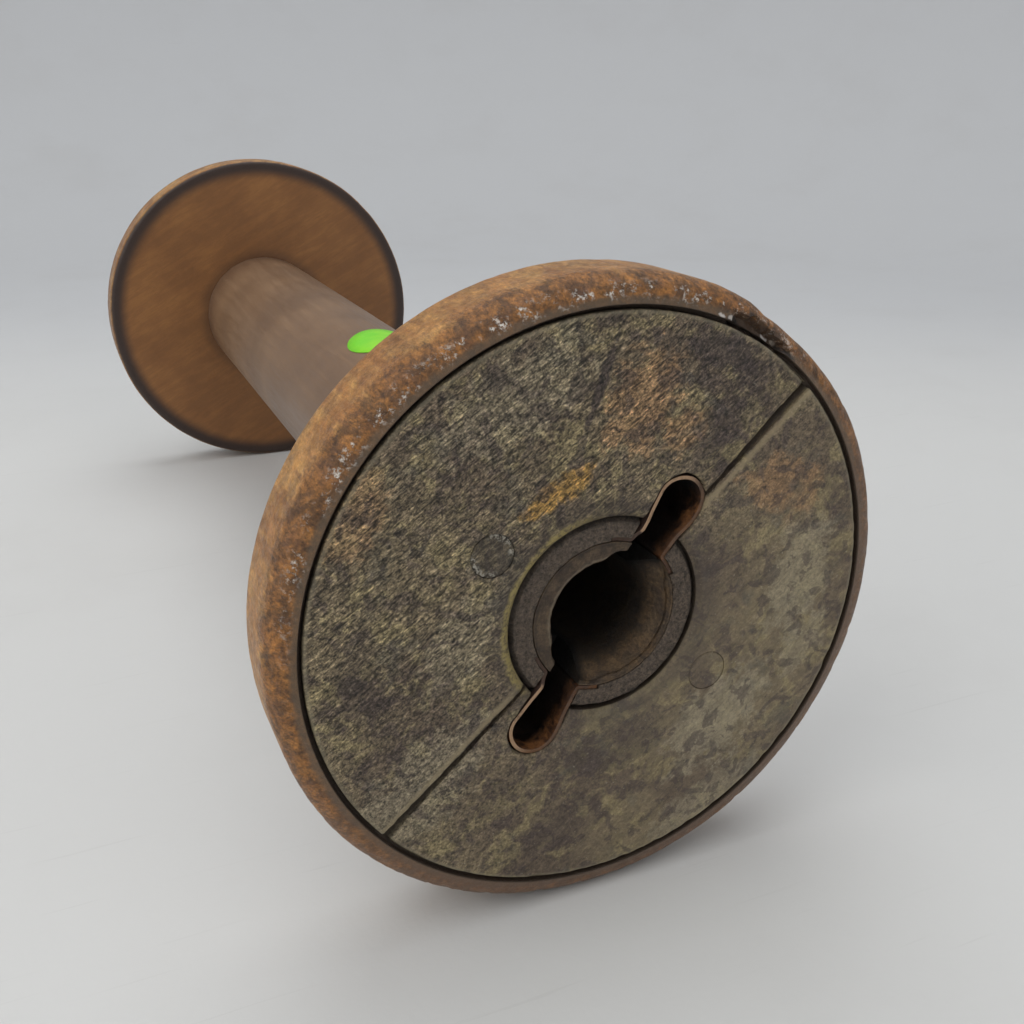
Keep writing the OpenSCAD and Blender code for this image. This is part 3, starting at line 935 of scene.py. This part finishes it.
for end, worn_turn, seed in (("near", math.radians(-28), 3.0), ("far", math.radians(120), 61.0)):
    shape = turned(
        [
            (bush_r, -sink - bush_l, 0), (bush_r, -sink, 0.1 * mm), (bore_r, -sink, 0.8 * mm),
            (bore_r, -sink - bush_l, 0),
        ],
        180, lambda radius, height: 0.6 * mm if radius < bush_r - mm / 5 else 5 * mm,
    )
    for vert in shape.verts:
        place = vert.co / mm + Vector((seed, 0, 0))
        radius, below = vert.co.xy.length, -sink - vert.co.z
        turn = math.atan2(vert.co.y, vert.co.x)
        towards = math.cos(turn - worn_turn)
        funnel = 0.15 + 2.0 * eased(towards, -0.35, 0.75)
        to_slot = max(math.cos(turn - slot_turns[which]) for which in slot_turns)
        funnel += 1.5 * eased(to_slot, 0.76, 0.96)
        flare = funnel * (1 - eased(below, -1 * mm, 8 * mm)) * (1 - (radius - bore_r) / (bush_r - bore_r))
        torn = noise.noise(place * 0.5) * 0.22 + noise.noise(place * 1.4) * 0.12
        torn *= (1 - eased(below, 0, 2 * mm)) * eased(radius, bush_r, bush_r - 2 * mm)
        vert.co.xy *= 1 + max(0, flare + torn) * mm / radius
        if below < 0.4 * mm:
            slope = 1.1 * eased(towards, -0.3, 0.8) * eased(radius, bush_r - 0.2 * mm, bore_r)
            vert.co.z -= (0.10 + 0.12 * noise.noise(place * 0.7) + slope) * mm
    shape = carve(shape, [throat_cutter(which) for which in halves])
    bush = finished(end + "_bush_worn", shape, ends[end], bush_dark(end + "_bush_dark", end))
    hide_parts(end + "_bush")
    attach(bush, "root")

# Slot liners. Strips of thin steel bent round each drive slot, with feet that curl out behind the
# bush and hold them. They are rusty, bright on the lip, and dented where the machine drove them.
sheet_t = 0.6 * mm
lip_sink = 0.2 * mm


def liner_strip(which, seed):
    shape = bmesh.new()
    foot_mid = (foot_in + foot_out) / 2
    wall = neck_half_w - sheet_t / 2
    first = math.asin(wall / foot_mid)
    last = neck_half + foot_turn
    start = shape.verts.new((foot_mid * math.cos(last), foot_mid * math.sin(last), 0))
    arc = bmesh.ops.spin(
        shape, geom=[start], cent=(0, 0, 0), axis=(0, 0, 1), angle=first - last, steps=7,
    )["geom_last"]
    start = corner = verts_of(arc)[0]
    for x, y in ((neck_x + 0.5 * mm, wall), (slot_radius, slot_r - sheet_t / 2)):
        start = bmesh.ops.extrude_vert_indiv(shape, verts=[start])["verts"][0]
        start.co.xy = x, y
    bmesh.ops.spin(
        shape, geom=[start], cent=(slot_radius, 0, 0), axis=(0, 0, 1), angle=-math.pi / 2, steps=12,
    )
    bmesh.ops.bevel(
        shape, geom=[corner], offset=0.35 * mm, segments=4, affect="VERTICES", profile=0.5, material=-1,
    )
    long_edges = [e for e in shape.edges if e.calc_length() > mm]
    bmesh.ops.subdivide_edges(shape, edges=long_edges, cuts=14)
    bmesh.ops.mirror(shape, geom=shape.verts[:] + shape.edges[:], axis="Y", merge_dist=1e-6)
    bmesh.ops.remove_doubles(shape, verts=shape.verts[:], dist=1e-6)
    for height in (-0.5, -1.0, -1.8, -3.0, -5.0, -8.0, -slot_depth / mm):
        lowest = min(v.co.z for v in shape.verts)
        row = [e for e in shape.edges if all(abs(v.co.z - lowest) < 1e-9 for v in e.verts)]
        made = bmesh.ops.extrude_edge_only(shape, edges=row)["geom"]
        for vert in verts_of(made):
            vert.co.z = height * mm
    for vert in shape.verts:
        place = vert.co / mm + Vector((seed, 0, 0))
        lip = 1 - eased(-vert.co.z, 0, 4.5 * mm)
        in_foot = 1 - eased(vert.co.x, 12.3 * mm, 14.2 * mm)
        top = -lip_sink - 0.10 * mm - 0.12 * mm * (1 + noise.noise(place * 0.35))
        top -= in_foot * (sink + 0.05 * mm - lip_sink)
        if vert.co.z > -0.1 * mm:
            vert.co.z = top
        elif vert.co.z > -1.5 * mm:
            vert.co.z += top * 0.6
        pinch = (eased(vert.co.x, 12.4 * mm, 14 * mm) - eased(vert.co.x, 15 * mm, 20 * mm)) * 0.40
        bend = noise.noise(place * 0.22) * 0.22 * eased(vert.co.x, 13 * mm, 15 * mm)
        vert.co.y -= math.copysign(1, vert.co.y) * (pinch + bend) * lip * mm * min(1, abs(vert.co.y) / mm)
        vert.co.x -= eased(vert.co.x, slot_radius, slot_reach) * 0.15 * lip * mm
    bmesh.ops.recalc_face_normals(shape, faces=shape.faces[:])
    turn_all(shape, slot_turns[which])
    return shape


def rusty_steel(name, end):
    """Thin steel: a bright tan crest along the lip, painted brighter on its lit side, orange rust painted
    on the walls that face the light, and painted shade, near black, on the others and deeper down."""
    made, place, radius, depth = end_material(name, end)
    # painted light and shade: rust on the walls that face the light, near black on the others, darker
    # deeper down
    across = dot(place, slot_side)
    lit = maths("MAXIMUM", spread(across, 1.8, 4.2), spread(dot(place, slot_way), -20.0, -23.5))
    mottle = cloud(place, 0.55, 6, 0.66, 0.5)
    rust = mix(spread(mottle, 0.38, 0.62), tint(66, 42, 27), tint(132, 86, 46))
    low = depth + (mottle - 0.5) * 3.0
    rust = shaded(rust, spread(low, -1.0, -4.2, 1.0, 0.08))
    shade = mix(lit, mix(spread(low, -0.6, -2.5), tint(62, 44, 36), tint(20, 17, 17)), rust)
    shade = shaded(shade, spread(cloud(place, 1.6, 6, 0.84), 0.34, 0.66, 0.55, 1.45, False))
    crest = spread(depth + cloud(place, 0.7, 4) * 0.3, -0.5, -0.32)
    crest *= spread(cloud(place, 0.45, 4, 0.6), 0.36, 0.5, 0.45, 1.0)
    crest *= spread(radius, 12.6, 14.0, 0.25, 1.0)
    normal = add_node(made.node_tree, "ShaderNodeNewGeometry", out="Normal")
    facing = dot(normal, (0, -1 if end == "near" else 1, 0))
    shade = mix(spread(facing, 0.3, 0.8) * 0.6, shade, tint(76, 52, 35))
    crest *= spread(facing, 0.86, 0.97)
    # painted highlight: the worn crest is made brighter on the lit side of the slot
    crest *= spread(across, 2.0, -2.0, 0.12, 1.0)
    shade = mix(crest * 0.85, shade, tint(190, 156, 124))
    feed(made.node_tree.nodes["Principled BSDF"].inputs["Metallic"], 0.10 + crest * 0.40)
    rough = spread(mottle, 0.3, 0.7, 0.42, 0.66)
    return coated(made, shade, rough, cloud(place, 2.0, 5, 0.7), deep=0.2 * mm)


for end, seed in (("near", 2.0), ("far", 70.0)):
    steel = rusty_steel(end + "_rusty_steel", end)
    for which in halves:
        shape = liner_strip(which, seed + (17 if which == "lower" else 0))
        liner = finished(f"{end}_liner_{which}_strip", shape, ends[end], steel, 50)
        thick = liner.modifiers.new("sheet", "SOLIDIFY")
        thick.thickness = sheet_t
        thick.offset = 0
        thick.use_even_offset = True
        rounded = liner.modifiers.new("lip", "BEVEL")
        rounded.width = 0.2 * mm
        rounded.segments = 3
        rounded.limit_method = "ANGLE"
        rounded.angle_limit = math.radians(50)
        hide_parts(f"{end}_liner_{which}")
        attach(liner, "root")


# Pegs. A round hardwood peg is driven through each half of the plate into the head and cut off
# flush. The glue that squeezed out round the upper near one has dried to a pale broken crust.
def peg_end_grain(name, end, middle, crust_amount):
    """The plate's own stains and grease over end grain, a dark ring at the rim, and crumbs of dry glue."""
    made = plate_wood(name, end)
    base = made.node_tree.nodes["Principled BSDF"].inputs["Base Color"]
    shade = Output(base.links[0].from_socket)
    place = end_place(made.node_tree, end)
    centred = vector_maths("SUBTRACT", place, (middle.x / mm, middle.y / mm, 0))
    away = off_axis(centred)
    shade = mix(0.45 if crust_amount else 0.15, shade, tint(78, 70, 62))
    shade = shaded(shade, spread(away, 2.7, 3.2, 1.0, 0.55 + 0.35 * (crust_amount == 0)))
    crumbs = spread(cloud(place, 1.3, 6, 0.8), 0.49, 0.55) * spread(away, 2.1, 2.8)
    lean = dot(vector_maths("NORMALIZE", centred), (0.71, 0.71, 0))
    crumbs *= spread(abs(lean), 0.35, 0.8)
    feed(base, mix(crumbs * crust_amount, shade, tint(186, 180, 166)))
    return made


for end, crusts, seed in (("near", (0.9, 0.0), 1.0), ("far", (0.4, 0.3), 55.0)):
    for which, crust_amount in zip(halves, crusts):
        middle = peg_middle if which == "upper" else -peg_middle
        shape = turned([(0, -peg_l, 0), (peg_r, -peg_l, 0), (peg_r, 0, 0.2 * mm), (0, 0, 0)], 64,
                       lambda radius, height: (0.3 if height > -mm / 9 else 3) * mm)
        for vert in shape.verts:
            if vert.co.z > -0.3 * mm:
                place = vert.co / mm + Vector((seed, 0, 0))
                rim = eased(vert.co.xy.length, 2.2 * mm, 3.1 * mm)
                crumbs = 0.14 * max(0, noise.noise(place * 1.9)) * rim
                sunk = (0.12 if crust_amount else 0.06) + 0.05 * noise.noise(place * 0.9)
                vert.co.z -= (sunk - crumbs) * mm
        bmesh.ops.translate(shape, vec=middle, verts=shape.verts[:])
        wood = peg_end_grain(f"{end}_{which}_peg_end_grain", end, middle, crust_amount)
        peg = finished(f"{end}_peg_{which}_dowel", shape, ends[end], wood)
        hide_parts(f"{end}_peg_{which}")
        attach(peg, "root")

# Sticker. A plain round spot of fluorescent lime paper, stuck on the barrel, scuffed at its rim
# with one edge beginning to lift.
sticker_low, sticker_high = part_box("sticker")
sticker_r = (sticker_high.y - sticker_low.y) / 2
sticker_y = (sticker_high.y + sticker_low.y) / 2
sticker_turn = math.radians(12.5)
shape = bmesh.new()
bmesh.ops.create_circle(shape, cap_ends=True, cap_tris=True, segments=96, radius=sticker_r - 0.1 * mm)
bmesh.ops.subdivide_edges(shape, edges=shape.edges[:], cuts=3, use_grid_fill=True)
for vert in shape.verts:
    rise = 0.03 + 0.05 * eased(vert.co.x, 0.7 * sticker_r, sticker_r)
    turn = vert.co.x / barrel_r + sticker_turn
    radius = barrel_r + rise * mm
    vert.co = (radius * math.sin(turn), sticker_y + vert.co.y, head_r + radius * math.cos(turn))
bmesh.ops.recalc_face_normals(shape, faces=shape.faces[:])
made, place = new_material("lime_paper")
fade = spread(cloud(place, 0.12, 4), 0.35, 0.65)
shade = mix(fade, tint(120, 218, 38), tint(150, 226, 44))
shade = mix(spread(cloud(place, 3.0, 4, 0.7), 0.55, 0.75, 0.0, 0.25), shade, tint(205, 240, 120))
paper = coated(made, shade, 0.55, cloud(place, 4.0, 4, 0.7), deep=0.04 * mm, strength=0.6)
sticker = finished("sticker_paper", shape, Matrix.Identity(4), paper)
thick = sticker.modifiers.new("paper", "SOLIDIFY")
thick.thickness = 0.06 * mm
thick.offset = 0
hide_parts("sticker")
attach(sticker, "root")
